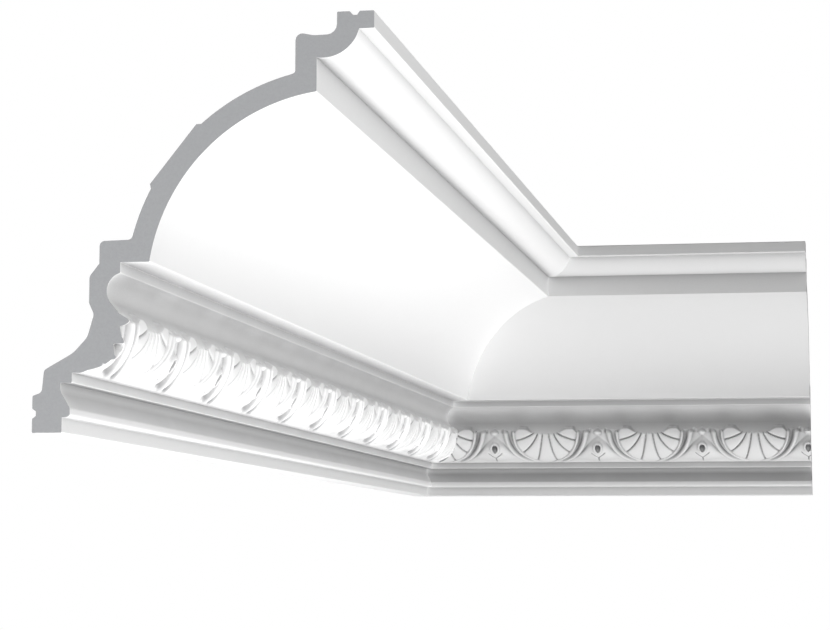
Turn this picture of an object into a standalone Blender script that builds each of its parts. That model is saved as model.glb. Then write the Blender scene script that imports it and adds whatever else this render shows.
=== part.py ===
"""Inside corner of an enriched cornice: a long and a short length, mitred and joined.

Metres, +Z up. A section is written in (projection from the back bed, height above the underside).
Each length is that section run along the wall, with a carved shell-and-dart band on its lower ovolo.
The origin is on the long length's lower back bed, halfway along it.
"""

import math

import bmesh
import bpy
import numpy as np

MM = 0.001

# Overall
HEIGHT = 245.0 * MM
PROJECTION = 204.0 * MM
LONG_LENGTH = 1238.85 * MM
SHORT_LENGTH = 430.25 * MM
JOINT_GAP = 0.3 * MM

# Members above the cove
TOP_FILLET_HEIGHT = 10.4 * MM
TOP_FILLET_STEP = 9.0 * MM
TOP_OVOLO_RADIUS = 22.0 * MM
TOP_OVOLO_WIDTH = 25.2 * MM
TOP_OVOLO_HEIGHT = 16.3 * MM
UPPER_FILLET_HEIGHT = 20.2 * MM

# Cove
COVE_RADIUS = 116.2 * MM
COVE_FOOT_PROJECTION = 70.1 * MM
COVE_FOOT_HEIGHT = 100.0 * MM
COVE_FOOT_STEP = 17.7 * MM

# Members below the cove
LOWER_FILLET_HEIGHT = 6.3 * MM
SCOTIA_RADIUS = 10.95 * MM
SCOTIA_FOOT_PROJECTION = 46.9 * MM
SCOTIA_FOOT_HEIGHT = 76.2 * MM
BAND_RADIUS = 30.0 * MM
BAND_CENTRE_PROJECTION = 27.5 * MM
BAND_ARRIS_RADIUS = 29.8 * MM
BAND_ARRIS_DROP = 1.8 * MM
BAND_FILLET_HEIGHT = 6.0 * MM
BAND_FILLET_PROJECTION = 24.0 * MM
BEAD_STEP = 7.0 * MM
BEAD_HEIGHT = 20.3 * MM
BEAD_NECK_HEIGHT = 4.8 * MM
BEAD_PROJECTION = 23.1 * MM
BEAD_RADIUS = 3.0 * MM
BOTTOM_FILLET_HEIGHT = 9.0 * MM
BOTTOM_FILLET_PROJECTION = 18.2 * MM

# Back and walls
COVE_WALL = 13.3 * MM
FILLET_WALL = 12.8 * MM
SCOTIA_WALL = 10.7 * MM
FOOT_WALL = 17.2 * MM
LOWER_BED_HEIGHT = 21.8 * MM
TOP_BED_WIDTH = 22.2 * MM
GLUE_GROOVE_WIDTH = 6.0 * MM
GLUE_GROOVE_DEPTH = 2.3 * MM
LOWER_GROOVE_HEIGHT = 11.3 * MM
TOP_GROOVE_SETBACK = 11.6 * MM
BACK_FLAT_LENGTH = 44.6 * MM
BACK_FLAT_TURN = math.radians(141.5)

# Carved band: sizes along the run, from a shell's centre, and round the ovolo
REPEAT = 110.25 * MM
LONG_FIRST_SHELL = -29.75 * MM
SHORT_FIRST_SHELL = 41.7 * MM
SHELL_RADIUS = 29.7 * MM
SHELL_FOOT_SWELL = 1.2 * MM
SHELL_EDGE_DIP = 1.6 * MM
SHELL_EDGE_WIDTH = 2.5 * MM
LOBE_RELIEF = 1.2 * MM
LOBE_FOCUS_RISE = 5.0 * MM
LOBE_TOP = 1.4 * MM
LOBE_ROUNDNESS = 0.98
LOBE_MIDDLE = 0.75
PETAL_TOP_MIDDLE = 1.7 * MM
PETAL_TOP = -3.7 * MM
PETAL_TOP_SIDE = 1.0 * MM
PETAL_STARTS = 11.0 * MM
PETAL_LEVEL = (24.0 * MM, 28.0 * MM)
PETAL_ENDS = 34.5 * MM
PETAL_FALL = 3.0

# A groove's distance out, in millimetres: at the drop 0, per millimetre and per square millimetre
NEAR_GROOVE = (3.1, 0.13, 0.0018)
MIDDLE_GROOVE = (8.4, 0.28, 0.0185)
FAR_GROOVE = (12.3, 0.9, 0.16)

# A rib: its reach out from the shell, the drop at which its two sides meet, its bend and its flare
INNER_RIB = (34.5 * MM, 43.0 * MM, 2.2, 0.08)
INNER_RIB_RADIUS = 30.8 * MM
INNER_RIB_HALF_WIDTH = 1.8 * MM
INNER_RIB_FALL = 1.15
OUTER_RIB = (43.5 * MM, 53.7 * MM, 1.9, 0.15)
OUTER_RIB_RADIUS = 31.4 * MM
OUTER_RIB_HALF_WIDTH = 3.1 * MM
OUTER_RIB_FALL = 1.0
RIB_FLARE_DROP = 3.0 * MM
RIB_TIP_DROP = 1.0 * MM
RIB_TIP_RISE = 6.8 * MM
RIB_ROUNDNESS = 0.6
CHANNEL_RADIUS = 26.6 * MM
GAP_RADIUS = 26.0 * MM

# The dart between two shells, with its knob and its eye
FIELD_RADIUS = 27.6 * MM
FIELD_RISE = (8.0 * MM, 30.0 * MM)
KNOB_RADIUS = 30.9 * MM
KNOB_HALF_WIDTH = 5.0 * MM
KNOB_DROP = 3.7 * MM
DART_TOP = 8.5 * MM
DART_SHOULDER = 13.5 * MM
DART_RADIUS = 30.6 * MM
DART_LENGTH = 28.0 * MM
DART_SPREAD = 0.72
DART_FLATNESS = 2.4
DART_FOOT_HALF_WIDTH = 25.0 * MM
DART_FOOT_FALL = 1.2 * MM
DART_FOOT = (26.0 * MM, 45.0 * MM)
EYE_TOP = 13.6 * MM
EYE_DEEPEST = 17.0 * MM
EYE_FOOT = 22.6 * MM
EYE_HALF_WIDTH = 2.7 * MM
EYE_FULLNESS = 6.0
EYE_POINT = 1.6
EYE_FLOOR_RADIUS = 25.1 * MM

# The band's grid: its rows, as drops, before the last one straight below the ovolo's centre, and its columns
BAND_DROPS = [-6.2, -2.9, 0.8, 4.0, 8.5, 13.0, 17.5, 22.5, 28.5, 34.5, 40.5]
SHELL_FOOT = 1.9 * MM
INNER_COLUMN_LEAST = 12.0 * MM
OUTER_COLUMN_LEAST = 20.0 * MM
COLUMN_LIMITS = (0.55, 0.64, 0.73, 0.82, 0.91)
DART_SIDE = 3.6 * MM
BESIDE_EYE = 0.3 * MM
COLUMN_SPACE = 2.0 * MM

# Straight bed for the mount: halfway up the strip under the glue groove
MOUNT_HEIGHT = 0.5 * (LOWER_GROOVE_HEIGHT - 0.5 * GLUE_GROOVE_WIDTH)
MOUNT_ALONG = 0.5 * LONG_LENGTH

WHITE = (0.86, 0.86, 0.85, 1.0)
QUARTER_TURN = 0.5 * math.pi
COVE_SEGMENTS = 16
SMALL_SEGMENTS = 6
ROUND_SEGMENTS = 3

band_foot_height = BOTTOM_FILLET_HEIGHT + BEAD_HEIGHT + BAND_FILLET_HEIGHT
band_centre_height = band_foot_height + BAND_RADIUS + 0.2 * MM
band_slope = (
    BAND_CENTRE_PROJECTION + BAND_ARRIS_RADIUS - SCOTIA_FOOT_PROJECTION
) / (SCOTIA_FOOT_HEIGHT - band_centre_height + BAND_ARRIS_DROP)
half_repeat = 0.5 * REPEAT


def arc(start, end, radius, segments, hollow):
    """Points of the minor arc from start to end; hollow puts its centre out in front."""
    start, end = np.array(start), np.array(end)
    chord = end - start
    half = 0.5 * np.linalg.norm(chord)
    side = np.array((-chord[1], chord[0])) / (2.0 * half)
    rise = math.sqrt(max(radius**2 - half**2, 0.0))
    centre = start + 0.5 * chord + side * (rise if hollow else -rise)
    first = math.atan2(*(start - centre)[::-1])
    last = math.atan2(*(end - centre)[::-1])
    sweep = (last - first + math.pi) % (2.0 * math.pi) - math.pi
    turns = first + sweep * np.linspace(0.0, 1.0, segments + 1)
    points = centre + radius * np.column_stack((np.cos(turns), np.sin(turns)))
    return [tuple(point) for point in points], centre


def rounded(corners):
    """An open run of (projection, height, radius) corners as points, each radius an arc."""
    points = [corners[0][:2]]
    for before, corner, after in zip(corners, corners[1:], corners[2:]):
        here = np.array(corner[:2])
        back = np.array(before[:2]) - here
        ahead = np.array(after[:2]) - here
        back_length = np.linalg.norm(back)
        ahead_length = np.linalg.norm(ahead)
        back, ahead = back / back_length, ahead / ahead_length
        half_angle = 0.5 * math.acos(float(np.clip(back @ ahead, -1.0, 1.0)))
        if corner[2] == 0.0 or half_angle > 0.49 * math.pi:
            points.append(tuple(here))
            continue
        reach = min(corner[2] / math.tan(half_angle), 0.45 * back_length, 0.45 * ahead_length)
        middle = here + (back + ahead) / np.linalg.norm(back + ahead) * reach / math.cos(half_angle)
        tangent = here + back * reach
        spoke = tangent - middle
        sweep = math.pi - 2.0 * half_angle
        sign = math.copysign(1.0, back[0] * ahead[1] - back[1] * ahead[0])
        for step in range(ROUND_SEGMENTS + 1):
            turn = -sign * sweep * step / ROUND_SEGMENTS
            points.append(
                (
                    middle[0] + spoke[0] * math.cos(turn) - spoke[1] * math.sin(turn),
                    middle[1] + spoke[0] * math.sin(turn) + spoke[1] * math.cos(turn),
                )
            )
    return points + [corners[-1][:2]]


def upper_face():
    """From the top front edge down to the straight foot of the scotia, with the cove's centre."""
    ovolo_top = (PROJECTION - TOP_FILLET_STEP, HEIGHT - TOP_FILLET_HEIGHT)
    ovolo_foot = (ovolo_top[0] - TOP_OVOLO_WIDTH, ovolo_top[1] - TOP_OVOLO_HEIGHT)
    cove_top = (ovolo_foot[0], ovolo_foot[1] - UPPER_FILLET_HEIGHT)
    cove_foot = (COVE_FOOT_PROJECTION, COVE_FOOT_HEIGHT)
    lower_fillet = COVE_FOOT_PROJECTION - COVE_FOOT_STEP
    scotia_top = (lower_fillet, COVE_FOOT_HEIGHT - LOWER_FILLET_HEIGHT)
    scotia_foot = (SCOTIA_FOOT_PROJECTION, SCOTIA_FOOT_HEIGHT)
    ovolo, _ = arc(ovolo_top, ovolo_foot, TOP_OVOLO_RADIUS, SMALL_SEGMENTS, hollow=False)
    cove, cove_centre = arc(cove_top, cove_foot, COVE_RADIUS, COVE_SEGMENTS, hollow=True)
    scotia, _ = arc(scotia_top, scotia_foot, SCOTIA_RADIUS, SMALL_SEGMENTS, hollow=True)
    points = [(PROJECTION, HEIGHT), (PROJECTION, ovolo_top[1])]
    points += ovolo + cove + [(lower_fillet, COVE_FOOT_HEIGHT)] + scotia
    return points, cove_centre


def lower_face():
    """From the foot of the carved band down to the underside's front edge."""
    neck = BAND_FILLET_PROJECTION - BEAD_STEP
    bead_top = BOTTOM_FILLET_HEIGHT + BEAD_HEIGHT
    bead_middle = BOTTOM_FILLET_HEIGHT + BEAD_RADIUS
    bead = rounded(
        [
            (neck, bead_top, 0.0),
            (neck, bead_top - BEAD_NECK_HEIGHT, 2.5 * BEAD_RADIUS),
            (BEAD_PROJECTION, bead_middle + 0.8 * BEAD_RADIUS, BEAD_RADIUS),
            (BEAD_PROJECTION, BOTTOM_FILLET_HEIGHT + 0.1 * BEAD_RADIUS, BEAD_RADIUS),
            (BOTTOM_FILLET_PROJECTION, BOTTOM_FILLET_HEIGHT, 0.0),
        ]
    )
    return [(BAND_FILLET_PROJECTION, bead_top)] + bead + [(BOTTOM_FILLET_PROJECTION, 0.0)]


def back_face(cove_centre):
    """From the underside's back edge up to the top bed's front edge, as it shows on the cut end."""
    groove = 0.5 * GLUE_GROOVE_WIDTH
    groove_floor = 0.45 * groove
    foot_back = BAND_FILLET_PROJECTION - FOOT_WALL
    band_middle = BAND_CENTRE_PROJECTION
    band_height = band_centre_height
    scotia_back = SCOTIA_FOOT_PROJECTION - 2.5 * MM - SCOTIA_WALL
    fillet_back = COVE_FOOT_PROJECTION - COVE_FOOT_STEP - FILLET_WALL
    ledge = COVE_FOOT_HEIGHT + FILLET_WALL
    upper_fillet = PROJECTION - TOP_FILLET_STEP - TOP_OVOLO_WIDTH
    upper_back = upper_fillet - FILLET_WALL
    bed_back = PROJECTION - TOP_BED_WIDTH
    ovolo_back = HEIGHT - TOP_FILLET_HEIGHT - 2.8 * MM
    cove = behind_cove(cove_centre, ledge + 5.0 * MM, upper_back - 2.7 * MM)
    lower = rounded(
        [
            (0.0, 0.0, 0.0),
            (0.0, LOWER_GROOVE_HEIGHT - groove, 0.0),
            (GLUE_GROOVE_DEPTH, LOWER_GROOVE_HEIGHT - groove_floor, 0.0),
            (GLUE_GROOVE_DEPTH, LOWER_GROOVE_HEIGHT + groove_floor, 0.0),
            (0.0, LOWER_GROOVE_HEIGHT + groove, 0.0),
            (0.0, LOWER_BED_HEIGHT, 0.0),
            (foot_back - 1.2 * MM, LOWER_BED_HEIGHT + 2.0 * MM, 3.0 * MM),
            (foot_back, band_foot_height + 1.7 * MM, 3.0 * MM),
            (band_middle - 3.0 * MM, band_height - 18.7 * MM, 20.0 * MM),
            (band_middle + 5.5 * MM, band_height - 9.5 * MM, 10.0 * MM),
            (band_middle + 9.3 * MM, band_height + 4.0 * MM, 4.0 * MM),
            (scotia_back, SCOTIA_FOOT_HEIGHT, 4.0 * MM),
            (scotia_back, COVE_FOOT_HEIGHT - LOWER_FILLET_HEIGHT - 1.7 * MM, 4.0 * MM),
            (fillet_back, COVE_FOOT_HEIGHT - 0.5 * MM, 0.0),
            (fillet_back, ledge, 3.0 * MM),
            (COVE_FOOT_PROJECTION - 11.0 * MM, ledge + 0.5 * MM, 3.5 * MM),
            cove[0] + (0.0,),
        ]
    )
    groove_middle = PROJECTION - TOP_GROOVE_SETBACK
    upper = rounded(
        [
            cove[-1] + (0.0,),
            (upper_back, cove[-1][1] + 1.0 * MM, 2.5 * MM),
            (upper_back, ovolo_back + 2.0 * MM, 4.0 * MM),
            (upper_back + 11.0 * MM, ovolo_back - 0.3 * MM, 12.0 * MM),
            (bed_back, ovolo_back, 6.5 * MM),
            (bed_back, HEIGHT, 0.0),
            (groove_middle - groove, HEIGHT, 0.0),
            (groove_middle - groove_floor, HEIGHT - GLUE_GROOVE_DEPTH, 0.0),
            (groove_middle + groove_floor, HEIGHT - GLUE_GROOVE_DEPTH, 0.0),
            (groove_middle + groove, HEIGHT, 0.0),
        ]
    )
    return lower + cove[:-1] + upper


def behind_cove(centre, foot_height, top_projection):
    """The cove's back, one wall behind it: two arcs with a flat pad standing out between them."""
    radius = COVE_RADIUS + COVE_WALL
    first = math.pi - math.asin((foot_height - centre[1]) / radius)
    last = math.acos((top_projection - centre[0]) / radius)
    half_pad = math.atan2(0.5 * BACK_FLAT_LENGTH, radius)
    pad = (BACK_FLAT_TURN + half_pad, BACK_FLAT_TURN - half_pad)
    steps = COVE_SEGMENTS // 4
    turns = [(turn, radius) for turn in np.linspace(first, pad[0] + 0.25 * half_pad, steps)]
    turns += [(turn, radius / math.cos(half_pad)) for turn in pad]
    turns += [(turn, radius) for turn in np.linspace(pad[1] - 0.25 * half_pad, last, steps + 1)]
    return [(centre[0] + reach * math.cos(turn), centre[1] + reach * math.sin(turn)) for turn, reach in turns]


def smooth_step(low, high, value):
    share = np.clip((value - low) / (high - low), 0.0, 1.0)
    return share * share * (3.0 - 2.0 * share)


def groove_lines(drop):
    """How far each of the three grooves of half a shell has run out at this drop round the ovolo."""
    d = np.maximum(drop, LOBE_TOP) / MM
    grooves = (NEAR_GROOVE, MIDDLE_GROOVE, FAR_GROOVE)
    return [(start + lean * d + bend * d**2) * MM for start, lean, bend in grooves]


def rib_line(rib, drop):
    """A U-shaped rib's distance from the shell's centre, flared outwards at its tip."""
    reach, depth, bend, flare = rib
    below = np.maximum(drop, 0.0) / depth
    return reach * (1.0 - below**bend) + flare * np.maximum(RIB_FLARE_DROP - drop, 0.0)


def ridge(offset, half_width, crest, floor):
    inside = np.clip(1.0 - (offset / half_width) ** 2, 0.0, 1.0)
    return floor + (crest - floor) * inside**RIB_ROUNDNESS


def lobes(out, drop):
    """The shell's seven radiating lobes, as a height between two grooves from 0 to 1."""
    near, middle, far = groove_lines(drop)
    below = np.maximum(drop, LOBE_TOP) + LOBE_FOCUS_RISE
    angle = np.arctan2(out, drop + LOBE_FOCUS_RISE)
    edges = [np.arctan2(line, below) for line in (near, middle, far)]
    number = 0.5 * angle / edges[0]
    number = np.where(angle > edges[0], 0.5 + (angle - edges[0]) / (edges[1] - edges[0]), number)
    number = np.where(angle > edges[1], 1.5 + (angle - edges[1]) / (edges[2] - edges[1]), number)
    number = np.where(angle > edges[2], 2.5 + (angle - edges[2]) / (QUARTER_TURN - edges[2]), number)
    from_crest = 2.0 * np.abs(number - np.round(number))
    return np.sqrt(np.clip(1.0 - (LOBE_ROUNDNESS * from_crest) ** 2, 0.0, 1.0))


def eye_half_width(drop):
    """The drop-shaped eye: round at its top, drawn to a point at its foot."""
    share = np.clip((drop - EYE_TOP) / (EYE_FOOT - EYE_TOP), 0.0, 1.0)
    return EYE_HALF_WIDTH * np.sqrt(np.clip(EYE_FULLNESS * share * (1.0 - share) ** EYE_POINT, 0.0, 1.0))


def eye_floor(drop):
    """A level ledge in to the eye's deepest line, then a slope out to the face."""
    ledge_drop = EYE_FLOOR_RADIUS * math.sin(EYE_DEEPEST / BAND_RADIUS)
    ledge = ledge_drop / np.sin(np.clip(drop, EYE_TOP, EYE_FOOT) / BAND_RADIUS)
    share = (drop - EYE_DEEPEST) / (EYE_FOOT - EYE_DEEPEST)
    return np.where(share < 0.0, ledge, EYE_FLOOR_RADIUS + (DART_RADIUS - EYE_FLOOR_RADIUS) * share)


def petal_top(out):
    """The drop at which the shell's face ends: level in the middle, a rounded petal on either side."""
    rise = smooth_step(PETAL_STARTS, PETAL_LEVEL[0], out)
    fall = smooth_step(PETAL_LEVEL[1], PETAL_ENDS, out)
    return PETAL_TOP_MIDDLE + (PETAL_TOP - PETAL_TOP_MIDDLE) * rise + (PETAL_TOP_SIDE - PETAL_TOP) * fall


def shell_radius(out, drop, inner):
    shell = SHELL_RADIUS + SHELL_FOOT_SWELL * np.clip(drop / INNER_RIB[1], 0.0, 1.0)
    shell = shell + LOBE_RELIEF * (lobes(out, drop) - LOBE_MIDDLE)
    return shell - SHELL_EDGE_DIP * np.exp(np.minimum(out - inner, 0.0) / SHELL_EDGE_WIDTH)


def dart_radius(aside, drop):
    """The field between two shells: a leaf-shaped swelling with a pierced eye, and a knob over it."""
    share = np.clip((drop - DART_TOP) / DART_LENGTH, 1e-6, 2.0)
    half_width = DART_FOOT_HALF_WIDTH * share**DART_SPREAD
    ground = GAP_RADIUS + (FIELD_RADIUS - GAP_RADIUS) * smooth_step(*FIELD_RISE, drop)
    crest = ground + (DART_RADIUS - ground) * smooth_step(DART_TOP, DART_SHOULDER, drop)
    crest = crest - DART_FOOT_FALL * smooth_step(*DART_FOOT, drop)
    across = np.clip(aside / half_width, 0.0, 1.0)
    field = ground + (crest - ground) * (1.0 - across**DART_FLATNESS) ** 2
    knob_end = np.hypot(aside, np.maximum(drop - (KNOB_DROP - KNOB_HALF_WIDTH), 0.0))
    field = np.maximum(field, ridge(knob_end, KNOB_HALF_WIDTH, KNOB_RADIUS, GAP_RADIUS))
    return np.where(aside < eye_half_width(drop), np.minimum(field, eye_floor(drop)), field)


def band_radius(along, drop):
    """The carved face's distance from the ovolo's centre line, along the run and down the face."""
    out = np.abs((along + half_repeat) % REPEAT - half_repeat)
    inner, outer = rib_line(INNER_RIB, drop), rib_line(OUTER_RIB, drop)
    slope = BAND_ARRIS_RADIUS + band_slope * (drop - BAND_ARRIS_DROP)
    shell = shell_radius(out, drop, inner)
    field = dart_radius(half_repeat - out, drop)
    face = np.minimum(slope, np.where(out < inner, shell, np.where(out < outer, CHANNEL_RADIUS, field)))
    petal = shell - PETAL_FALL * np.maximum(petal_top(out) - drop, 0.0)
    face = np.where(out < inner, np.maximum(face, petal), face)
    tip_fall = smooth_step(0.0, RIB_TIP_RISE, RIB_TIP_DROP - drop)
    tip_fall = tip_fall * (OUTER_RIB_RADIUS - BAND_ARRIS_RADIUS + RIB_TIP_RISE)
    inner_lean = np.hypot(1.0, (rib_line(INNER_RIB, drop + MM) - inner) / MM)
    outer_lean = np.hypot(1.0, (rib_line(OUTER_RIB, drop + MM) - outer) / MM)
    for offset, half_width, crest, fall in (
        ((out - inner) / inner_lean, INNER_RIB_HALF_WIDTH, INNER_RIB_RADIUS, INNER_RIB_FALL),
        ((out - outer) / outer_lean, OUTER_RIB_HALF_WIDTH, OUTER_RIB_RADIUS, OUTER_RIB_FALL),
    ):
        rib = ridge(offset, half_width, crest - fall * tip_fall, GAP_RADIUS - fall * tip_fall)
        face = np.where(np.abs(offset) < half_width, np.maximum(face, rib), face)
    return face


def band_point(along, drop, first_shell):
    """(along, projection, height) of the carved face; drop runs down the slope, then round the ovolo."""
    radius = band_radius(along, drop)
    turn = max(drop, 0.0) / BAND_RADIUS
    rise = max(-drop, 0.0)
    return (
        along + first_shell,
        BAND_CENTRE_PROJECTION + radius * math.cos(turn),
        band_centre_height + rise - radius * math.sin(turn),
    )


def band_rows():
    """Drops of the band's grid rows, from above the rib tips to straight below the ovolo's centre."""
    return [drop * MM for drop in BAND_DROPS] + [QUARTER_TURN * BAND_RADIUS]


def half_columns(drop):
    """Grid columns of half a repeat at this drop: they follow the grooves, the ribs and the dart."""
    near, middle, far = groove_lines(drop)
    inner = max(float(rib_line(INNER_RIB, drop)), INNER_COLUMN_LEAST)
    outer = max(float(rib_line(OUTER_RIB, drop)), OUTER_COLUMN_LEAST)
    foot = inner - SHELL_FOOT
    lines = [near, 0.5 * (near + middle), middle, 0.5 * (middle + far), far]
    shell = [min(float(line), foot * limit) for line, limit in zip(lines, COLUMN_LIMITS)]
    beside_eye = half_repeat - EYE_HALF_WIDTH - BESIDE_EYE
    dart_side = min(outer + DART_SIDE, beside_eye - COLUMN_SPACE)
    return [0.0] + shell + [foot, inner, 0.5 * (inner + outer), outer, dart_side, beside_eye]


def band_columns(drop, repeats):
    """Whole repeats of columns, from the dart before the first shell."""
    half = half_columns(drop)
    one = [-half_repeat] + [-column for column in half[:0:-1]] + half
    stations = [REPEAT * index + column for index in range(repeats) for column in one]
    return stations + [REPEAT * repeats - half_repeat]


def cut_band(mesh, length):
    """Trims the band's open grid to the mitre plane and to the square end."""
    gap = 0.5 * JOINT_GAP * math.sqrt(2.0)
    for point, normal in (((gap, 0.0, 0.0), (-1.0, 1.0, 0.0)), ((length, 0.0, 0.0), (1.0, 0.0, 0.0))):
        bmesh.ops.bisect_plane(
            mesh,
            geom=mesh.verts[:] + mesh.edges[:] + mesh.faces[:],
            dist=2e-5,
            plane_co=point,
            plane_no=normal,
            clear_outer=True,
        )


def add_band(mesh, length, first_shell):
    """The carved grid, trimmed; gives its top and bottom edges in order along the run."""
    repeats = math.ceil((length - first_shell) / REPEAT + 0.5)
    drops = band_rows()
    rows = []
    for drop in drops:
        columns = band_columns(drop, repeats)
        rows.append([mesh.verts.new(band_point(along, drop, first_shell)) for along in columns])
    foot = [(vertex.co.x, BAND_FILLET_PROJECTION, band_foot_height) for vertex in rows[-1]]
    rows.append([mesh.verts.new(point) for point in foot])
    for upper, lower in zip(rows, rows[1:]):
        for column in range(len(upper) - 1):
            a, b = upper[column], upper[column + 1]
            c, d = lower[column + 1], lower[column]
            mesh.faces.new((a, b, c))
            mesh.faces.new((a, c, d))
    cut_band(mesh, length)
    mesh.verts.ensure_lookup_table()
    top = band_point(0.0, drops[0], first_shell)
    edges = []
    for projection, height in (top[1:], (BAND_FILLET_PROJECTION, band_foot_height)):
        edge = [
            vertex
            for vertex in mesh.verts
            if abs(vertex.co.y - projection) < 1e-6 and abs(vertex.co.z - height) < 1e-6
        ]
        edges.append(sorted(edge, key=lambda vertex: vertex.co.x))
    return edges


def add_fan(mesh, near, far, edge, flip):
    """Joins a strip's two end vertices to the many vertices of the band's straight edge."""
    middle = len(edge) // 2
    faces = [(near, edge[step], edge[step + 1]) for step in range(middle)]
    faces.append((near, edge[middle], far))
    faces += [(far, edge[step], edge[step + 1]) for step in range(middle, len(edge) - 1)]
    for face in faces:
        mesh.faces.new(face[::-1] if flip else face)


def make_length(name, length, first_shell, place, material, collection):
    """One length: the plain section's strips round the carved band, closed at both ends."""
    mesh = bmesh.new()
    top_edge, foot_edge = add_band(mesh, length, first_shell)
    upper, cove_centre = upper_face()
    section = lower_face() + back_face(cove_centre) + upper
    gap = 0.5 * JOINT_GAP * math.sqrt(2.0)
    near = [mesh.verts.new((projection + gap, projection, height)) for projection, height in section]
    far = [mesh.verts.new((length, projection, height)) for projection, height in section]
    for step in range(len(section) - 1):
        mesh.faces.new((near[step], far[step], far[step + 1], near[step + 1]))
    add_fan(mesh, near[0], far[0], foot_edge, flip=False)
    add_fan(mesh, near[-1], far[-1], top_edge, flip=True)
    rim = [edge for edge in mesh.edges if edge.is_boundary]
    bmesh.ops.holes_fill(mesh, edges=rim, sides=0)
    for vertex in mesh.verts:
        vertex.co = place(*vertex.co)
    bmesh.ops.recalc_face_normals(mesh, faces=mesh.faces[:])
    if mesh.calc_volume(signed=True) < 0.0:
        bmesh.ops.reverse_faces(mesh, faces=mesh.faces[:])
    data = bpy.data.meshes.new(name)
    mesh.to_mesh(data)
    mesh.free()
    data.materials.append(material)
    data.shade_smooth()
    data.set_sharp_from_angle(angle=math.radians(25.0))
    piece = bpy.data.objects.new(name, data)
    collection.objects.link(piece)
    return piece


def along_long_wall(along, projection, height):
    return (projection, -along, height)


def along_short_wall(along, projection, height):
    return (along, -projection, height)


def make_material():
    material = bpy.data.materials.new("primed_white")
    material.use_nodes = True
    shader = material.node_tree.nodes["Principled BSDF"]
    shader.inputs["Base Color"].default_value = WHITE
    shader.inputs["Roughness"].default_value = 0.55
    shader.inputs["Metallic"].default_value = 0.0
    return material


def main():
    for leftover in list(bpy.data.objects):
        bpy.data.objects.remove(leftover, do_unlink=True)
    collection = bpy.data.collections.new("cornice_corner")
    bpy.context.scene.collection.children.link(collection)
    material = make_material()
    corner = bpy.data.objects.new("wall_corner", None)
    corner.location = (0.0, MOUNT_ALONG, -MOUNT_HEIGHT)
    collection.objects.link(corner)
    for name, length, first_shell, place in (
        ("long_length", LONG_LENGTH, LONG_FIRST_SHELL, along_long_wall),
        ("short_length", SHORT_LENGTH, SHORT_FIRST_SHELL, along_short_wall),
    ):
        piece = make_length(name, length, first_shell, place, material, collection)
        piece.parent = corner


main()
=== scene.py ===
import math

import bmesh
import bpy
import numpy as np
from mathutils import Matrix, Vector


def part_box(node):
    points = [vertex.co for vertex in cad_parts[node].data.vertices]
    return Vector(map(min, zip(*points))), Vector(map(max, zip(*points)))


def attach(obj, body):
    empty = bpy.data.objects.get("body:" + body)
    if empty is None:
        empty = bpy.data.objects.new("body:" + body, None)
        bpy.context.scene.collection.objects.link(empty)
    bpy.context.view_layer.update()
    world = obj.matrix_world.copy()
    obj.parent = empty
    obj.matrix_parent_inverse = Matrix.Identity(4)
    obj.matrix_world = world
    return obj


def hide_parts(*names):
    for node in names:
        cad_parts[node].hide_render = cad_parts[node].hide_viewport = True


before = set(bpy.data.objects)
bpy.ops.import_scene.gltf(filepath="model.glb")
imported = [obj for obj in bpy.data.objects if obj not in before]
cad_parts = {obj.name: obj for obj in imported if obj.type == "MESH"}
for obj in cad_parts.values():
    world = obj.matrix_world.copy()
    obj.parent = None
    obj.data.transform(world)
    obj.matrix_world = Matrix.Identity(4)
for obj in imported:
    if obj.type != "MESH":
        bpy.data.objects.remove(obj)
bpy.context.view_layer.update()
print("frame loaded:", sorted(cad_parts))

mm = 0.001
quarterTurn = 0.5 * math.pi

# The wall corner that both lengths run from, on the level of the underside
longLow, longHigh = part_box("long_length")
shortLow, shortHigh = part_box("short_length")
corner = Vector((longLow.x, shortHigh.y, longLow.z))

# Plain members: sizes out from the wall and up from the underside
section = {
    "height": longHigh.z - longLow.z,
    "projection": 204.0 * mm,
    "arris": 0.7 * mm,
    "topFilletHeight": 10.4 * mm,
    "topFilletStep": 9.0 * mm,
    "topOvoloRadius": 22.0 * mm,
    "topOvoloWidth": 25.2 * mm,
    "topOvoloHeight": 16.3 * mm,
    "upperFilletHeight": 20.2 * mm,
    "coveRadius": 116.2 * mm,
    "coveFoot": (70.1 * mm, 100.0 * mm),
    "coveFootStep": 17.7 * mm,
    "lowerFilletHeight": 6.3 * mm,
    "scotiaRadius": 10.95 * mm,
    "scotiaFoot": (46.9 * mm, 76.2 * mm),
    "bandFilletProjection": 24.0 * mm,
    "bandFilletHeight": 6.0 * mm,
    "beadStep": 7.0 * mm,
    "beadHeight": 20.3 * mm,
    "beadNeckHeight": 4.8 * mm,
    "beadProjection": 23.1 * mm,
    "beadRadius": 3.0 * mm,
    "bottomFilletHeight": 9.0 * mm,
    "bottomFilletProjection": 18.2 * mm,
    "coveSegments": 56,
    "smallSegments": 16,
    "roundSegments": 4,
}

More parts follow.
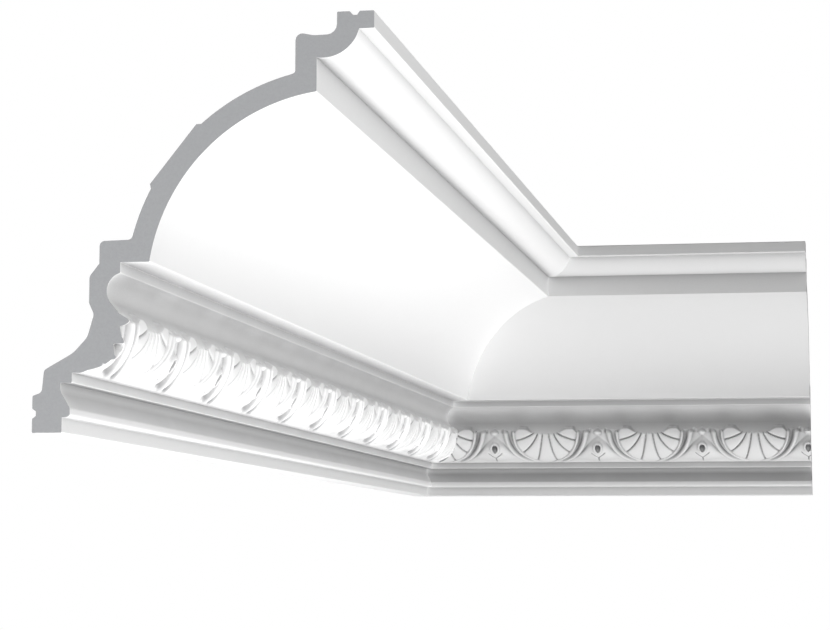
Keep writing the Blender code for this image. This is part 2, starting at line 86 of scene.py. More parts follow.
# Hollow back: walls behind the members, the two glued beds and their grooves
back = {
    "coveWall": 13.3 * mm,
    "filletWall": 12.8 * mm,
    "scotiaWall": 10.7 * mm,
    "footWall": 17.2 * mm,
    "lowerBedHeight": 21.8 * mm,
    "topBedWidth": 22.2 * mm,
    "grooveWidth": 6.0 * mm,
    "grooveDepth": 2.3 * mm,
    "lowerGrooveHeight": 11.3 * mm,
    "topGrooveSetback": 11.6 * mm,
    "grooveFloorShare": 0.45,
    "grooveLip": 0.3 * mm,
    "grooveFloorEasing": 0.4 * mm,
    "footCorners": ((-1.2 * mm, 2.0 * mm, 3.0 * mm), (0.0, 1.7 * mm, 3.0 * mm)),
    "bandCorners": (
        (-3.0 * mm, -18.7 * mm, 20.0 * mm),
        (5.5 * mm, -9.5 * mm, 10.0 * mm),
        (9.3 * mm, 4.0 * mm, 4.0 * mm),
    ),
    "flatLength": 44.6 * mm,
    "flatTurn": math.radians(141.5),
}

# Shell-and-dart band: along the run from a shell's centre, and down round the ovolo from its arris
carving = {
    "repeat": 110.25 * mm,
    "radius": 30.0 * mm,
    "centreProjection": 27.5 * mm,
    "centreRise": 30.2 * mm,
    "arrisRadius": 29.8 * mm,
    "arrisDrop": 1.8 * mm,
    "shellRadius": 29.7 * mm,
    "shellFootSwell": 1.2 * mm,
    "shellEdgeDip": 1.6 * mm,
    "shellEdgeWidth": 2.5 * mm,
    "lobeRelief": 1.2 * mm,
    "lobeLevel": 0.75,
    "focusRise": 5.0 * mm,
    "nearGroove": (3.1, 0.13, 0.0018),
    "middleGroove": (8.4, 0.28, 0.0185),
    "farGroove": (12.3, 0.9, 0.16),
    "grooveHalfWidth": 1.1 * mm,
    "grooveDepth": 1.4 * mm,
    "grooveEnd": (-1.4 * mm, -2.4 * mm),
    "innerRib": {"reach": 34.3 * mm, "depth": 45.0 * mm, "bend": 2.2, "flare": 0.05},
    "innerRibCrest": 31.1 * mm,
    "innerRibHalfWidth": 2.1 * mm,
    "outerRib": {"reach": 42.7 * mm, "depth": 55.5 * mm, "bend": 1.9, "flare": 0.15},
    "outerRibCrest": 30.9 * mm,
    "outerRibHalfWidth": 3.0 * mm,
    "ribRoundness": 0.6,
    "innerRibTipFall": 1.15,
    "outerRibTipFall": 1.0,
    "ribFootDip": 1.6 * mm,
    "ribFootWidth": 1.6 * mm,
    "channelRadius": 25.8 * mm,
    "channelFootRadius": 28.8 * mm,
    "reliefFoot": (39.0 * mm, 46.0 * mm),
    "footRadius": 30.4 * mm,
    "gapRadius": 25.7 * mm,
    "tipRise": 6.8 * mm,
    "tipStart": 1.0 * mm,
    "tipSteepness": 2.0,
    "petalTop": (1.7 * mm, -3.7 * mm, 1.0 * mm),
    "petalPlaces": (11.0 * mm, 24.0 * mm, 28.0 * mm, 34.5 * mm),
    "petalFall": 1.6,
    "knobRadius": 31.8 * mm,
    "knobHalfWidth": 5.0 * mm,
    "knobDrop": 3.7 * mm,
    "knobRoundness": 0.85,
    "dartTop": 3.5 * mm,
    "dartShoulder": 17.0 * mm,
    "dartRadius": 30.6 * mm,
    "dartLength": 32.0 * mm,
    "dartSpread": 0.8,
    "dartFootFall": 1.2 * mm,
    "dartFootHalfWidth": 25.0 * mm,
    "dartFootDrops": (26.0 * mm, 45.0 * mm),
    "dartCrossing": (1.9, 1.6),
    "fieldRadius": 27.6 * mm,
    "fieldDrops": (8.0 * mm, 30.0 * mm),
    "eyeTop": 13.6 * mm,
    "eyeDeepest": 17.0 * mm,
    "eyeFoot": 22.6 * mm,
    "eyeHalfWidth": 2.7 * mm,
    "eyeFloorRadius": 25.1 * mm,
    "ringDrop": 17.9 * mm,
    "ringHalfWidth": 4.2 * mm,
    "ringHalfHeight": 5.4 * mm,
    "ringShare": 0.35,
    "ringRelief": 1.3 * mm,
    "leafCut": 1.3 * mm,
    "leafCutHalfWidth": 1.0 * mm,
    "leafCutMeet": 31.6 * mm,
    "leafCutLean": 0.97,
    "leafCutReach": 8.2 * mm,
    "topDrop": -7.0 * mm,
    "rowStep": 0.6 * mm,
    "columnCounts": (44, 10, 8, 14, 12, 24),
    "spareColumns": 14,
    "triangleShare": 0.42,
}
bandFootHeight = section["bottomFilletHeight"] + section["beadHeight"] + section["bandFilletHeight"]
bandCentreHeight = bandFootHeight + carving["centreRise"]
bandSlope = (
    carving["centreProjection"] + carving["arrisRadius"] - section["scotiaFoot"][0]
) / (section["scotiaFoot"][1] - bandCentreHeight + carving["arrisDrop"])
halfRepeat = 0.5 * carving["repeat"]


def smoothStep(low, high, value):
    share = np.clip((value - low) / (high - low), 0.0, 1.0)
    return share * share * (3.0 - 2.0 * share)


def arcPoints(start, end, radius, segments, shadeOcclusion):
    # The minor arc; hollow puts its centre out in front of the moulding
    start, end = np.array(start), np.array(end)
    chord = end - start
    half = 0.5 * np.linalg.norm(chord)
    side = np.array((-chord[1], chord[0])) / (2.0 * half)
    rise = math.sqrt(max(radius**2 - half**2, 0.0))
    centre = start + 0.5 * chord + side * (rise if shadeOcclusion else -rise)
    first = math.atan2(*(start - centre)[::-1])
    last = math.atan2(*(end - centre)[::-1])
    sweep = (last - first + math.pi) % (2.0 * math.pi) - math.pi
    turns = first + sweep * np.linspace(0.0, 1.0, segments + 1)
    points = [centre + radius * np.array((math.cos(turn), math.sin(turn))) for turn in turns]
    return [(point[0], point[1], 0.0) for point in points], centre


def eased(corners, segments):
    # An open run of (out, up, radius) corners as points, each radius drawn as a small arc
    points = [corners[0][:2]]
    for before, here, after in zip(corners, corners[1:], corners[2:]):
        spot = Vector(here[:2])
        behind = Vector(before[:2]) - spot
        ahead = Vector(after[:2]) - spot
        room = 0.45 * min(behind.length, ahead.length)
        behind.normalize()
        ahead.normalize()
        halfAngle = 0.5 * behind.angle(ahead)
        if here[2] == 0.0 or halfAngle > 0.49 * math.pi:
            points.append(tuple(spot))
            continue
        reach = min(here[2] / math.tan(halfAngle), room)
        middle = spot + (behind + ahead).normalized() * reach / math.cos(halfAngle)
        spoke = spot + behind * reach - middle
        sweep = math.copysign(math.pi - 2.0 * halfAngle, ahead.x * behind.y - ahead.y * behind.x)
        for step in range(segments + 1):
            turn = Matrix.Rotation(sweep * step / segments, 2)
            points.append(tuple(middle + turn @ spoke))
    return points + [corners[-1][:2]]


def upperFace(s):
    # From the top front edge down to the straight foot of the scotia
    arris = s["arris"]
    ovoloTop = (s["projection"] - s["topFilletStep"], s["height"] - s["topFilletHeight"])
    ovoloFoot = (ovoloTop[0] - s["topOvoloWidth"], ovoloTop[1] - s["topOvoloHeight"])
    coveTop = (ovoloFoot[0], ovoloFoot[1] - s["upperFilletHeight"])
    lowerFillet = s["coveFoot"][0] - s["coveFootStep"]
    scotiaTop = (lowerFillet, s["coveFoot"][1] - s["lowerFilletHeight"])
    ovolo, _ = arcPoints(ovoloTop, ovoloFoot, s["topOvoloRadius"], s["smallSegments"], shadeOcclusion=False)
    cove, coveCentre = arcPoints(coveTop, s["coveFoot"], s["coveRadius"], s["coveSegments"], shadeOcclusion=True)
    scotia, _ = arcPoints(scotiaTop, s["scotiaFoot"], s["scotiaRadius"], s["smallSegments"], shadeOcclusion=True)
    corners = [(s["projection"], s["height"], arris), (s["projection"], ovoloTop[1], arris)]
    corners += ovolo
    corners += [cove[0][:2] + (arris,)] + cove[1:-1] + [cove[-1][:2] + (arris,)]
    corners += [(lowerFillet, s["coveFoot"][1], 0.5 * arris), scotia[0][:2] + (arris,)] + scotia[1:]
    return corners, coveCentre


def lowerFace(s):
    # From the foot of the carved band down to the underside's front edge
    neck = s["bandFilletProjection"] - s["beadStep"]
    beadTop = s["bottomFilletHeight"] + s["beadHeight"]
    beadMiddle = s["bottomFilletHeight"] + s["beadRadius"]
    return [
        (s["bandFilletProjection"], bandFootHeight, 0.0),
        (s["bandFilletProjection"], beadTop, s["arris"]),
        (neck, beadTop, 0.5 * s["arris"]),
        (neck, beadTop - s["beadNeckHeight"], 2.5 * s["beadRadius"]),
        (s["beadProjection"], beadMiddle + 0.8 * s["beadRadius"], s["beadRadius"]),
        (s["beadProjection"], s["bottomFilletHeight"] + 0.1 * s["beadRadius"], s["beadRadius"]),
        (s["bottomFilletProjection"], s["bottomFilletHeight"], 0.5 * s["arris"]),
        (s["bottomFilletProjection"], 0.0, s["arris"]),
    ]


def behindCove(centre, footHeight, topProjection):
    # One wall behind the cove: two arcs, with a flat pad standing out between them
    radius = section["coveRadius"] + back["coveWall"]
    first = math.pi - math.asin((footHeight - centre[1]) / radius)
    last = math.acos((topProjection - centre[0]) / radius)
    halfPad = math.atan2(0.5 * back["flatLength"], radius)
    pad = (back["flatTurn"] + halfPad, back["flatTurn"] - halfPad)
    turns = [(turn, radius) for turn in np.linspace(first, pad[0] + 0.1 * halfPad, 14)]
    turns += [(turn, radius / math.cos(halfPad)) for turn in pad]
    turns += [(turn, radius) for turn in np.linspace(pad[1] - 0.1 * halfPad, last, 18)]
    return [
        (centre[0] + reach * math.cos(turn), centre[1] + reach * math.sin(turn), 0.0)
        for turn, reach in turns
    ]


def backFace(s, b, coveCentre):
    # From the underside's back edge up to the top bed's front edge
    groove = 0.5 * b["grooveWidth"]
    grooveFloor = b["grooveFloorShare"] * groove
    footBack = s["bandFilletProjection"] - b["footWall"]
    bandMiddle = carving["centreProjection"]
    scotiaBack = s["scotiaFoot"][0] - 2.5 * mm - b["scotiaWall"]
    filletBack = s["coveFoot"][0] - s["coveFootStep"] - b["filletWall"]
    ledge = s["coveFoot"][1] + b["filletWall"]
    upperBack = s["projection"] - s["topFilletStep"] - s["topOvoloWidth"] - b["filletWall"]
    bedBack = s["projection"] - b["topBedWidth"]
    ovoloBack = s["height"] - s["topFilletHeight"] - 2.8 * mm
    cove = behindCove(coveCentre, ledge + 5.0 * mm, upperBack - 2.7 * mm)
    grooveMiddle = s["projection"] - b["topGrooveSetback"]
    footHeights = (b["lowerBedHeight"], bandFootHeight)
    foot = [
        (footBack + out, height + up, easing)
        for height, (out, up, easing) in zip(footHeights, b["footCorners"])
    ]
    band = [(bandMiddle + out, bandCentreHeight + up, easing) for out, up, easing in b["bandCorners"]]
    return [
        (0.0, 0.0, s["arris"]),
        (0.0, b["lowerGrooveHeight"] - groove, b["grooveLip"]),
        (b["grooveDepth"], b["lowerGrooveHeight"] - grooveFloor, b["grooveFloorEasing"]),
        (b["grooveDepth"], b["lowerGrooveHeight"] + grooveFloor, b["grooveFloorEasing"]),
        (0.0, b["lowerGrooveHeight"] + groove, b["grooveLip"]),
        (0.0, b["lowerBedHeight"], s["arris"]),
        *foot,
        *band,
        (scotiaBack, s["scotiaFoot"][1], 4.0 * mm),
        (scotiaBack, s["coveFoot"][1] - s["lowerFilletHeight"] - 1.7 * mm, 4.0 * mm),
        (filletBack, s["coveFoot"][1] - 0.5 * mm, 0.0),
        (filletBack, ledge, 3.0 * mm),
        (s["coveFoot"][0] - 11.0 * mm, ledge + 0.5 * mm, 3.5 * mm),
        *cove,
        (upperBack, cove[-1][1] + 1.0 * mm, 2.5 * mm),
        (upperBack, ovoloBack + 2.0 * mm, 4.0 * mm),
        (upperBack + 11.0 * mm, ovoloBack - 0.3 * mm, 12.0 * mm),
        (bedBack, ovoloBack, 6.5 * mm),
        (bedBack, s["height"], s["arris"]),
        (grooveMiddle - groove, s["height"], b["grooveLip"]),
        (grooveMiddle - grooveFloor, s["height"] - b["grooveDepth"], b["grooveFloorEasing"]),
        (grooveMiddle + grooveFloor, s["height"] - b["grooveDepth"], b["grooveFloorEasing"]),
        (grooveMiddle + groove, s["height"], b["grooveLip"]),
    ]


def sectionRun():
    # The whole outline but the carved band: from the band's foot, round the back, to the scotia
    upper, coveCentre = upperFace(section)
    corners = lowerFace(section) + backFace(section, back, coveCentre) + upper
    return eased(corners, section["roundSegments"])


def ribLine(rib, drop):
    # How far out from a shell's centre a U-shaped rib runs at this drop
    below = np.maximum(drop, 0.0) / rib["depth"]
    return rib["reach"] * (1.0 - below ** rib["bend"]) + rib["flare"] * np.maximum(3.0 * mm - drop, 0.0)


def grooveAngles(reach):
    # The three grooves of half a shell, as angles about the focus at this distance from it
    d = np.linspace(0.0, 70.0, 300)
    rise = d + carving["focusRise"] / mm
    angles = []
    for start, lean, bend in (carving["nearGroove"], carving["middleGroove"], carving["farGroove"]):
        line = start + lean * d + bend * d**2
        angles.append(np.interp(reach / mm, np.hypot(line, rise), np.arctan2(line, rise)))
    return angles


def lobesAndGrooves(out, drop):
    # Seven lobes, as a height from 0 to 1, and the incised lines between them, from 0 to 1
    rise = drop + carving["focusRise"]
    reach = np.hypot(out, rise)
    angle = np.arctan2(out, rise)
    near, middle, far = grooveAngles(reach)
    number = 0.5 * angle / near
    number = np.where(angle > near, 0.5 + (angle - near) / (middle - near), number)
    number = np.where(angle > middle, 1.5 + (angle - middle) / (far - middle), number)
    number = np.where(angle > far, 2.5 + (angle - far) / (quarterTurn - far), number)
    fromCrest = 2.0 * np.abs(number - np.round(number))
    lobe = np.sqrt(np.clip(1.0 - (0.98 * fromCrest) ** 2, 0.0, 1.0))
    offset = np.minimum.reduce([np.abs(angle - line) for line in (near, middle, far)]) * reach
    groove = np.clip(1.0 - offset / carving["grooveHalfWidth"], 0.0, 1.0)
    return lobe, groove


def ridge(offset, halfWidth, crest, floor, roundness):
    inside = np.clip(1.0 - (offset / halfWidth) ** 2, 0.0, 1.0)
    return floor + (crest - floor) * inside**roundness


def eyeHalfWidth(c, drop):
    share = np.clip((drop - c["eyeTop"]) / (c["eyeFoot"] - c["eyeTop"]), 0.0, 1.0)
    return c["eyeHalfWidth"] * np.sqrt(np.clip(6.0 * share * (1.0 - share) ** 1.6, 0.0, 1.0))


def eyeFloor(c, drop):
    ledgeDrop = c["eyeFloorRadius"] * math.sin(c["eyeDeepest"] / c["radius"])
    ledge = ledgeDrop / np.sin(np.clip(drop, c["eyeTop"], c["eyeFoot"]) / c["radius"])
    share = (drop - c["eyeDeepest"]) / (c["eyeFoot"] - c["eyeDeepest"])
    slope = c["eyeFloorRadius"] + (c["dartRadius"] - c["eyeFloorRadius"]) * share
    return np.where(share < 0.0, ledge, slope)


def shellFace(c, out, drop, inner):
    lobe, groove = lobesAndGrooves(out, drop)
    face = c["shellRadius"] + c["shellFootSwell"] * np.clip(drop / c["innerRib"]["depth"], 0.0, 1.0)
    face = face + c["lobeRelief"] * (lobe - c["lobeLevel"])
    face = face - c["shellEdgeDip"] * np.exp(np.minimum(out - inner, 0.0) / c["shellEdgeWidth"])
    return face - c["grooveDepth"] * groove * smoothStep(*c["grooveEnd"], out - inner)


def petalTop(c, out):
    # The drop at which the shell's face ends: level in the middle, a rounded petal on either side
    middle, top, side = c["petalTop"]
    rise = smoothStep(c["petalPlaces"][0], c["petalPlaces"][1], out)
    fall = smoothStep(c["petalPlaces"][2], c["petalPlaces"][3], out)
    return middle + (top - middle) * rise + (side - top) * fall


def dartFace(c, aside, drop):
    share = np.clip((drop - c["dartTop"]) / c["dartLength"], 1e-6, 2.0)
    halfWidth = c["dartFootHalfWidth"] * share ** c["dartSpread"]
    ground = c["gapRadius"] + (c["fieldRadius"] - c["gapRadius"]) * smoothStep(*c["fieldDrops"], drop)
    crest = ground + (c["dartRadius"] - ground) * smoothStep(c["dartTop"], c["dartShoulder"], drop)
    crest = crest - c["dartFootFall"] * smoothStep(*c["dartFootDrops"], drop)
    across = np.clip(aside / halfWidth, 0.0, 1.0)
    bulge, rounding = c["dartCrossing"]
    face = ground + (crest - ground) * (1.0 - across**bulge) ** rounding
    ringOffset = np.hypot(aside / c["ringHalfWidth"], (drop - c["ringDrop"]) / c["ringHalfHeight"]) - 1.0
    face = face + c["ringRelief"] * np.clip(1.0 - (ringOffset / c["ringShare"]) ** 2, 0.0, 1.0)
    vee = np.abs(drop - (c["leafCutMeet"] - c["leafCutLean"] * aside)) / c["leafCutHalfWidth"]
    cut = np.clip(1.0 - vee, 0.0, 1.0) * smoothStep(c["leafCutReach"], 0.8 * c["leafCutReach"], aside)
    stem = np.clip(1.0 - aside / (0.8 * c["leafCutHalfWidth"]), 0.0, 1.0)
    stem = stem * smoothStep(c["leafCutMeet"] - 1.0 * mm, c["leafCutMeet"] + 1.0 * mm, drop)
    face = face - c["leafCut"] * np.maximum(cut, stem)
    return np.where(aside < eyeHalfWidth(c, drop), np.minimum(face, eyeFloor(c, drop)), face)


def knobFace(c, aside, drop, fall):
    knobEnd = np.hypot(aside, np.maximum(drop - (c["knobDrop"] - c["knobHalfWidth"]), 0.0))
    crest, floor = c["knobRadius"] - fall, c["gapRadius"] - fall
    return ridge(knobEnd, c["knobHalfWidth"], crest, floor, c["knobRoundness"])


def bandRadius(c, along, drop):
    # The carved face's distance from the ovolo's centre line
    out = np.abs((along + halfRepeat) % c["repeat"] - halfRepeat)
    inner = ribLine(c["innerRib"], drop)
    outer = ribLine(c["outerRib"], drop)
    slope = c["arrisRadius"] + bandSlope * (drop - c["arrisDrop"])
    above = c["tipStart"] - drop
    tipFall = smoothStep(0.0, c["tipRise"], above) * (c["outerRibCrest"] - c["arrisRadius"] + c["tipRise"])
    tipFall = tipFall + c["tipSteepness"] * np.maximum(above - c["tipRise"], 0.0)
    shell = shellFace(c, out, drop, inner)
    outerLean = np.hypot(1.0, (ribLine(c["outerRib"], drop + mm) - outer) / mm)
    ribFoot = ((out - outer) / outerLean - c["outerRibHalfWidth"]) / c["ribFootWidth"]
    field = dartFace(c, halfRepeat - out, drop) - c["ribFootDip"] * np.exp(-ribFoot**2)
    channelRise = (c["channelFootRadius"] - c["channelRadius"]) * smoothStep(0.0, c["reliefFoot"][1], drop)
    channel = c["channelRadius"] + channelRise
    base = np.where(out < inner, shell, np.where(out < outer, channel, field))
    face = np.minimum(slope, base)
    face = np.maximum(face, knobFace(c, halfRepeat - out, drop, tipFall))
    tip = shell - c["petalFall"] * np.maximum(petalTop(c, out) - drop, 0.0)
    face = np.where(out < inner, np.maximum(face, tip), face)
    for rib, line, halfWidth, crest, fall in (
        (c["innerRib"], inner, c["innerRibHalfWidth"], c["innerRibCrest"], c["innerRibTipFall"]),
        (c["outerRib"], outer, c["outerRibHalfWidth"], c["outerRibCrest"], c["outerRibTipFall"]),
    ):
        lean = np.hypot(1.0, (ribLine(rib, drop + mm) - line) / mm)
        offset = (out - line) / lean
        floor = c["gapRadius"] - fall * tipFall
        ribFace = ridge(offset, halfWidth, crest - fall * tipFall, floor, c["ribRoundness"])
        face = np.where(np.abs(offset) < halfWidth, np.maximum(face, ribFace), face)
    return face + (c["footRadius"] - face) * smoothStep(*c["reliefFoot"], drop)


def bandColumns(c, drop, repeats):
    # Grid columns at this drop, which follow the ribs; a few spare ones run past the square end
    inner = float(ribLine(c["innerRib"], drop))
    outer = float(ribLine(c["outerRib"], drop))
    beside = max(halfRepeat - 10.0 * mm, outer + c["outerRibHalfWidth"] + 0.3 * mm)
    stations = (
        inner - c["innerRibHalfWidth"],
        inner + c["innerRibHalfWidth"],
        outer - c["outerRibHalfWidth"],
        outer + c["outerRibHalfWidth"],
        beside,
        halfRepeat,
    )
    half = [0.0]
    for station, count in zip(stations, c["columnCounts"]):
        half += list(np.linspace(half[-1], station, count + 1)[1:])
    half = np.array(half)
    one = np.concatenate((-half[:0:-1], half[:-1]))
    every = np.concatenate([one + c["repeat"] * index for index in range(repeats + 1)])
    return every[: repeats * len(one) + c["spareColumns"]]


def carvedBand(name, length, firstShell):
    # The open carved strip, fine and even, then thinned where it is flat
    c = carving
    repeats = math.floor((length - firstShell) / c["repeat"] + 0.5)
    footDrop = quarterTurn * c["radius"]
    rows = np.append(np.arange(c["topDrop"], footDrop - 0.5 * c["rowStep"], c["rowStep"]), footDrop)
    grid = []
    for drop in rows:
        along = bandColumns(c, drop, repeats)
        radius = bandRadius(c, along, np.full_like(along, drop))
        turn = max(drop, 0.0) / c["radius"]
        out = c["centreProjection"] + radius * math.cos(turn)
        up = bandCentreHeight + max(-drop, 0.0) - radius * math.sin(turn)
        grid.append(np.column_stack((along + firstShell, out, up)))
    foot = grid[-1].copy()
    foot[:, 1] = section["bandFilletProjection"]
    foot[:, 2] = bandFootHeight
    grid.append(foot)
    points = np.concatenate(grid)
    width = len(foot)
    first = np.arange(len(grid) - 1)[:, None] * width + np.arange(width - 1)[None, :]
    first = first.ravel()
    faces = np.column_stack((first, first + 1, first + width + 1, first + width))
    data = bpy.data.meshes.new(name)
    data.from_pydata(points.tolist(), [], faces.tolist())
    strip = bpy.data.objects.new(name, data)
    bpy.context.scene.collection.objects.link(strip)
    thin = strip.modifiers.new("thin", "DECIMATE")
    thin.ratio = c["triangleShare"]
    thin.use_collapse_triangulate = True
    evaluated = strip.evaluated_get(bpy.context.evaluated_depsgraph_get())
    mesh = bmesh.new()
    mesh.from_mesh(evaluated.to_mesh())
    evaluated.to_mesh_clear()
    bpy.data.objects.remove(strip)
    bpy.data.meshes.remove(data)
    return mesh


def cutAcross(mesh, point, normal):
    bmesh.ops.bisect_plane(
        mesh,
        geom=mesh.verts[:] + mesh.edges[:] + mesh.faces[:],
        dist=5e-6,
        plane_co=point,
        plane_no=normal,
        clear_outer=True,
    )


def longEdges(mesh):
    # The strip's top and bottom edges, straightened, in order along the run
    topHeight = bandCentreHeight - carving["topDrop"]
    topOut = carving["centreProjection"] + carving["arrisRadius"]
    topOut += bandSlope * (carving["topDrop"] - carving["arrisDrop"])
    edges = []
    for out, up in ((topOut, topHeight), (section["bandFilletProjection"], bandFootHeight)):
        edge = [v for v in mesh.verts if v.is_boundary and math.hypot(v.co.y - out, v.co.z - up) < 0.02 * mm]
        for vertex in edge:
            vertex.co.y, vertex.co.z = out, up
        edges.append(sorted(edge, key=lambda vertex: vertex.co.x))
    return edges


def addFan(mesh, near, far, edge, flip):
    middle = len(edge) // 2
    faces = [(near, edge[step], edge[step + 1]) for step in range(middle)]
    faces.append((near, edge[middle], far))
    faces += [(far, edge[step], edge[step + 1]) for step in range(middle, len(edge) - 1)]
    for face in faces:
        mesh.faces.new(face[::-1] if flip else face)


def mouldedLength(piece, place):
    # One length: the plain members' strips round the carved band, closed at both ends
    name, length, gap = piece["name"], piece["length"], piece["mitreGap"]
    mesh = carvedBand(name, length, piece["firstShell"])
    cutAcross(mesh, (gap, 0.0, 0.0), (-1.0, 1.0, 0.0))
    cutAcross(mesh, (length, 0.0, 0.0), (1.0, 0.0, 0.0))
    topEdge, footEdge = longEdges(mesh)
    print(f"{name}: {len(topEdge)} and {len(footEdge)} vertices along the band's edges")
    run = sectionRun()[1:]
    near = [mesh.verts.new((out + gap, out, up)) for out, up in run]
    far = [mesh.verts.new((length, out, up)) for out, up in run]
    for step in range(len(run) - 1):
        mesh.faces.new((near[step], far[step], far[step + 1], near[step + 1]))
    addFan(mesh, near[0], far[0], footEdge, flip=False)
    addFan(mesh, near[-1], far[-1], topEdge, flip=True)
    for face in mesh.faces:
        face.smooth = True
    rim = [edge for edge in mesh.edges if edge.is_boundary]
    ends = bmesh.ops.holes_fill(mesh, edges=rim, sides=0)["faces"]
    for face in ends:
        face.material_index = 1
        face.smooth = False
    bmesh.ops.triangulate(mesh, faces=ends)
    for vertex in mesh.verts:
        vertex.co = place(*vertex.co)
    bmesh.ops.recalc_face_normals(mesh, faces=mesh.faces[:])
    if mesh.calc_volume(signed=True) < 0.0:
        bmesh.ops.reverse_faces(mesh, faces=mesh.faces[:])
    loose = sum(1 for edge in mesh.edges if not edge.is_manifold)
    data = bpy.data.meshes.new(name)
    mesh.to_mesh(data)
    triangles = sum(len(face.verts) - 2 for face in mesh.faces)
    mesh.free()
    data.set_sharp_from_angle(angle=math.radians(piece["sharpAngle"]))
    data.materials.append(primerWithPaintedShade)
    data.materials.append(sawnFoam)
    made = bpy.data.objects.new(name, data)
    bpy.context.scene.collection.objects.link(made)
    flats = made.modifiers.new("flats", "WEIGHTED_NORMAL")
    flats.keep_sharp = True
    flats.weight = 80
    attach(made, "root")
    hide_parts(piece["node"])
    print(f"{name}: {triangles} triangles, {loose} open edges")
    return made


def alongLongWall(along, out, up):
    return corner + Vector((out, -along, up))


def alongShortWall(along, out, up):
    return corner + Vector((along, -out, up))


def newMaterial(name):
    material = bpy.data.materials.new(name)
    material.use_nodes = True
    tree = material.node_tree
    return material, tree, tree.nodes["Principled BSDF"]


def grainGroup():
    # Fine mottling in object space: a mask from 0 to 1 and a bumped normal
    group = bpy.data.node_groups.new("fineGrain", "ShaderNodeTree")
    for name, value in (("Size", 1.0), ("Bump", 0.1), ("Height", 0.1)):
        socket = group.interface.new_socket(name=name, in_out="INPUT", socket_type="NodeSocketFloat")
        socket.default_value = value
    group.interface.new_socket(name="Mask", in_out="OUTPUT", socket_type="NodeSocketFloat")
    group.interface.new_socket(name="Normal", in_out="OUTPUT", socket_type="NodeSocketVector")
    nodes, links = group.nodes, group.links
    inside = nodes.new("NodeGroupInput")
    outside = nodes.new("NodeGroupOutput")
    place = nodes.new("ShaderNodeTexCoord")
    noise = nodes.new("ShaderNodeTexNoise")
    noise.inputs["Detail"].default_value = 5.0
    noise.inputs["Roughness"].default_value = 0.6
    bump = nodes.new("ShaderNodeBump")
    links.new(place.outputs["Object"], noise.inputs["Vector"])
    links.new(inside.outputs["Size"], noise.inputs["Scale"])
    links.new(noise.outputs["Fac"], bump.inputs["Height"])
    links.new(inside.outputs["Bump"], bump.inputs["Strength"])
    links.new(inside.outputs["Height"], bump.inputs["Distance"])
    links.new(noise.outputs["Fac"], outside.inputs["Mask"])
    links.new(bump.outputs["Normal"], outside.inputs["Normal"])
    return group


def placeGrain(tree, size, bump, height):
    node = tree.nodes.new("ShaderNodeGroup")
    node.node_tree = fineGrain
    node.inputs["Size"].default_value = size
    node.inputs["Bump"].default_value = bump
    node.inputs["Height"].default_value = height
    return node


def ramp(tree, source, dark, light, low=0.35, high=0.65):
    node = tree.nodes.new("ShaderNodeValToRGB")
    node.color_ramp.elements[0].position = low
    node.color_ramp.elements[0].color = dark
    node.color_ramp.elements[1].position = high
    node.color_ramp.elements[1].color = light
    tree.links.new(source, node.inputs["Fac"])
    return node.outputs["Color"]


def makePrimedWhite():
    # Off-white primer with painted shade: an ambient occlusion node darkens its base colour in the carving
    # and the corners, standing in for shade
    material, tree, shader = newMaterial("primerWithPaintedShade")
    grain = placeGrain(tree, size=160.0, bump=0.02, height=0.1 * mm)
    shadeOcclusion = tree.nodes.new("ShaderNodeAmbientOcclusion")
    shadeOcclusion.only_local = True
    shadeOcclusion.samples = 12
    shadeOcclusion.inputs["Distance"].default_value = 36.0 * mm
    # Painted shade: the colour runs from dark grey in recesses to off-white in the open, driven by ambient
    # occlusion
    paintedShadeColour, unshadedColour = (0.22, 0.22, 0.225, 1.0), (0.78, 0.78, 0.78, 1.0)
    paintedShade = ramp(tree, shadeOcclusion.outputs["AO"], paintedShadeColour, unshadedColour, low=0.2, high=0.95)
    gloss = ramp(tree, grain.outputs["Mask"], (0.52, 0.52, 0.52, 1.0), (0.58, 0.58, 0.58, 1.0))
    tree.links.new(paintedShade, shader.inputs["Base Color"])
    tree.links.new(gloss, shader.inputs["Roughness"])
    tree.links.new(grain.outputs["Normal"], shader.inputs["Normal"])
    shader.inputs["Specular IOR Level"].default_value = 0.3
    return material


def makeSawnFoam():
    material, tree, shader = newMaterial("sawnFoam")
    grain = placeGrain(tree, size=900.0, bump=0.2, height=0.3 * mm)
    shade = ramp(tree, grain.outputs["Mask"], (0.335, 0.34, 0.35, 1.0), (0.36, 0.365, 0.375, 1.0))
    tree.links.new(shade, shader.inputs["Base Color"])
    tree.links.new(grain.outputs["Normal"], shader.inputs["Normal"])
    shader.inputs["Roughness"].default_value = 0.9
    shader.inputs["Specular IOR Level"].default_value = 0.15
    return material


fineGrain = grainGroup()
primerWithPaintedShade = makePrimedWhite()
sawnFoam = makeSawnFoam()
print("materials made")

longLength = {
    "name": "longCornice",
    "node": "long_length",
    "length": corner.y - longLow.y,
    "firstShell": -29.75 * mm,
    "mitreGap": 0.03 * mm,
    "sharpAngle": 40.0,
}
shortLength = {
    "name": "shortCornice",
    "node": "short_length",
    "length": shortHigh.x - corner.x,
    "firstShell": 41.7 * mm,
    "mitreGap": 0.03 * mm,
    "sharpAngle": 40.0,
}
longCornice = mouldedLength(longLength, alongLongWall)
shortCornice = mouldedLength(shortLength, alongShortWall)

viewpoint = {
    "place": (0.4752, -1.9547, -0.0824),
    "yaw": math.radians(10.46),
    "pitch": math.radians(6.0624),
    "roll": math.radians(0.179),
    "focalPixels": 2383.4,
    "imageWidth": 830.0,
    "sensorWidth": 36.0,
}


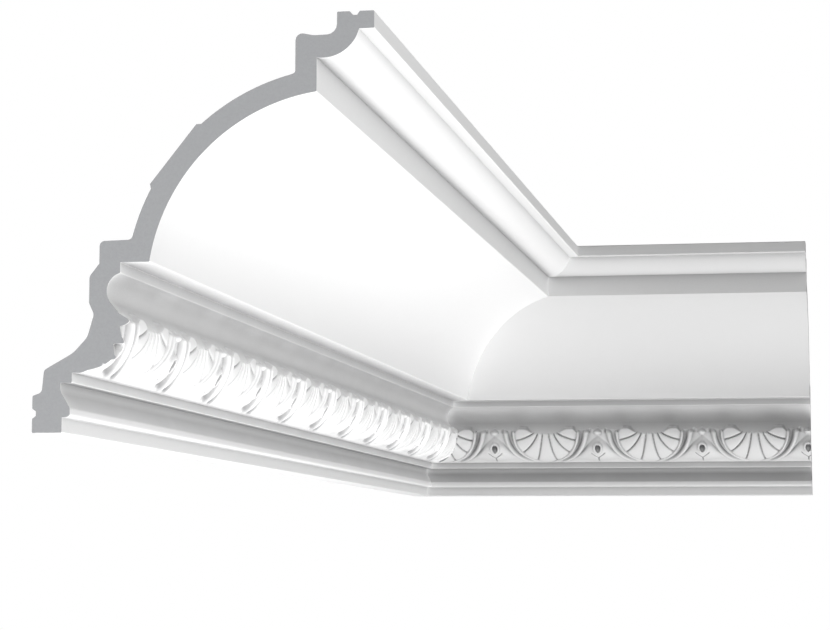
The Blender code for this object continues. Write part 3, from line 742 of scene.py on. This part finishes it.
def placeCamera(v):
    level = Vector((math.cos(v["yaw"]), math.sin(v["yaw"]), 0.0))
    ahead = Vector((-math.sin(v["yaw"]), math.cos(v["yaw"]), 0.0))
    forward = math.cos(v["pitch"]) * ahead + Vector((0.0, 0.0, math.sin(v["pitch"])))
    upright = level.cross(forward)
    right = math.cos(v["roll"]) * level + math.sin(v["roll"]) * upright
    up = math.cos(v["roll"]) * upright - math.sin(v["roll"]) * level
    data = bpy.data.cameras.new("camera")
    data.sensor_fit = "HORIZONTAL"
    data.sensor_width = v["sensorWidth"]
    data.lens = v["focalPixels"] * v["sensorWidth"] / v["imageWidth"]
    data.clip_start = 0.01
    data.clip_end = 100.0
    camera = bpy.data.objects.new("camera", data)
    bpy.context.scene.collection.objects.link(camera)
    turn = Matrix((right, up, -forward)).transposed().to_4x4()
    camera.matrix_world = Matrix.Translation(v["place"]) @ turn
    bpy.context.scene.camera = camera


def softbox(name, place, target, size, power, receivers):
    # A square area light that lights only its receivers, and that only they can shade
    data = bpy.data.lights.new(name, "AREA")
    data.shape = "SQUARE"
    data.size = size
    data.energy = power
    lamp = bpy.data.objects.new(name, data)
    lamp.location = place
    lamp.rotation_euler = (Vector(target) - Vector(place)).to_track_quat("-Z", "Y").to_euler()
    lamp.visible_camera = False
    bpy.context.scene.collection.objects.link(lamp)
    lit = bpy.data.collections.new(name + "Receivers")
    for piece in receivers:
        lit.objects.link(piece)
    lamp.light_linking.receiver_collection = lit
    lamp.light_linking.blocker_collection = lit


def paleFloor(level, glow):
    # A pale floor, seen by the camera alone: the light comes from the lamps and the world
    mesh = bmesh.new()
    bmesh.ops.create_circle(mesh, cap_ends=True, segments=96, radius=14.0)
    data = bpy.data.meshes.new("paleFloor")
    mesh.to_mesh(data)
    mesh.free()
    material, tree, shader = newMaterial("paleFloor")
    shader.inputs["Base Color"].default_value = (0.35, 0.35, 0.35, 1.0)
    shader.inputs["Roughness"].default_value = 0.9
    shader.inputs["Emission Color"].default_value = (1.0, 1.0, 1.0, 1.0)
    shader.inputs["Emission Strength"].default_value = glow
    data.materials.append(material)
    floor = bpy.data.objects.new("paleFloor", data)
    floor.location = (0.2, 0.0, level)
    bpy.context.scene.collection.objects.link(floor)
    floor.visible_diffuse = False
    floor.visible_glossy = False
    floor.visible_shadow = False


def studioWorld(ambient):
    # A weak light from all round; the camera sees plain white
    world = bpy.data.worlds.new("studio")
    bpy.context.scene.world = world
    world.use_nodes = True
    nodes, links = world.node_tree.nodes, world.node_tree.links
    fill = nodes["Background"]
    fill.inputs["Color"].default_value = (1.0, 1.0, 1.0, 1.0)
    fill.inputs["Strength"].default_value = ambient
    seen = nodes.new("ShaderNodeBackground")
    seen.inputs["Color"].default_value = (1.0, 1.0, 1.0, 1.0)
    seen.inputs["Strength"].default_value = 1.0
    rays = nodes.new("ShaderNodeLightPath")
    mix = nodes.new("ShaderNodeMixShader")
    links.new(rays.outputs["Is Camera Ray"], mix.inputs["Fac"])
    links.new(fill.outputs["Background"], mix.inputs[1])
    links.new(seen.outputs["Background"], mix.inputs[2])
    links.new(mix.outputs["Shader"], nodes["World Output"].inputs["Surface"])


placeCamera(viewpoint)
paleFloor(-2.0, glow=0.85)
studioWorld(0.16)
softbox("longBelow", (0.2, -0.7, -1.9), (0.2, 0.0, 0.1), 1.6, 60.0, [longCornice])
softbox("longKey", (3.8, -2.4, -0.5), (0.1, 0.0, 0.1), 2.0, 120.0, [longCornice])
softbox("longFront", (1.6, -4.0, 0.2), (0.1, 0.0, 0.05), 1.5, 35.0, [longCornice])
softbox("longSide", (-2.2, -1.6, -0.5), (0.1, 0.0, 0.05), 1.0, 55.0, [longCornice])
softbox("shortBelow", (1.2, -0.5, -1.9), (0.25, 0.3, 0.1), 1.6, 52.0, [shortCornice])
softbox("shortSide", (-2.6, -1.8, -1.4), (0.25, 0.55, 0.05), 1.2, 14.0, [shortCornice])
softbox("rear", (-2.6, 3.0, 0.9), (0.1, 0.2, 0.1), 1.6, 130.0, [longCornice, shortCornice])
bpy.context.scene.view_settings.view_transform = "Standard"
print("camera, floor and lights placed")
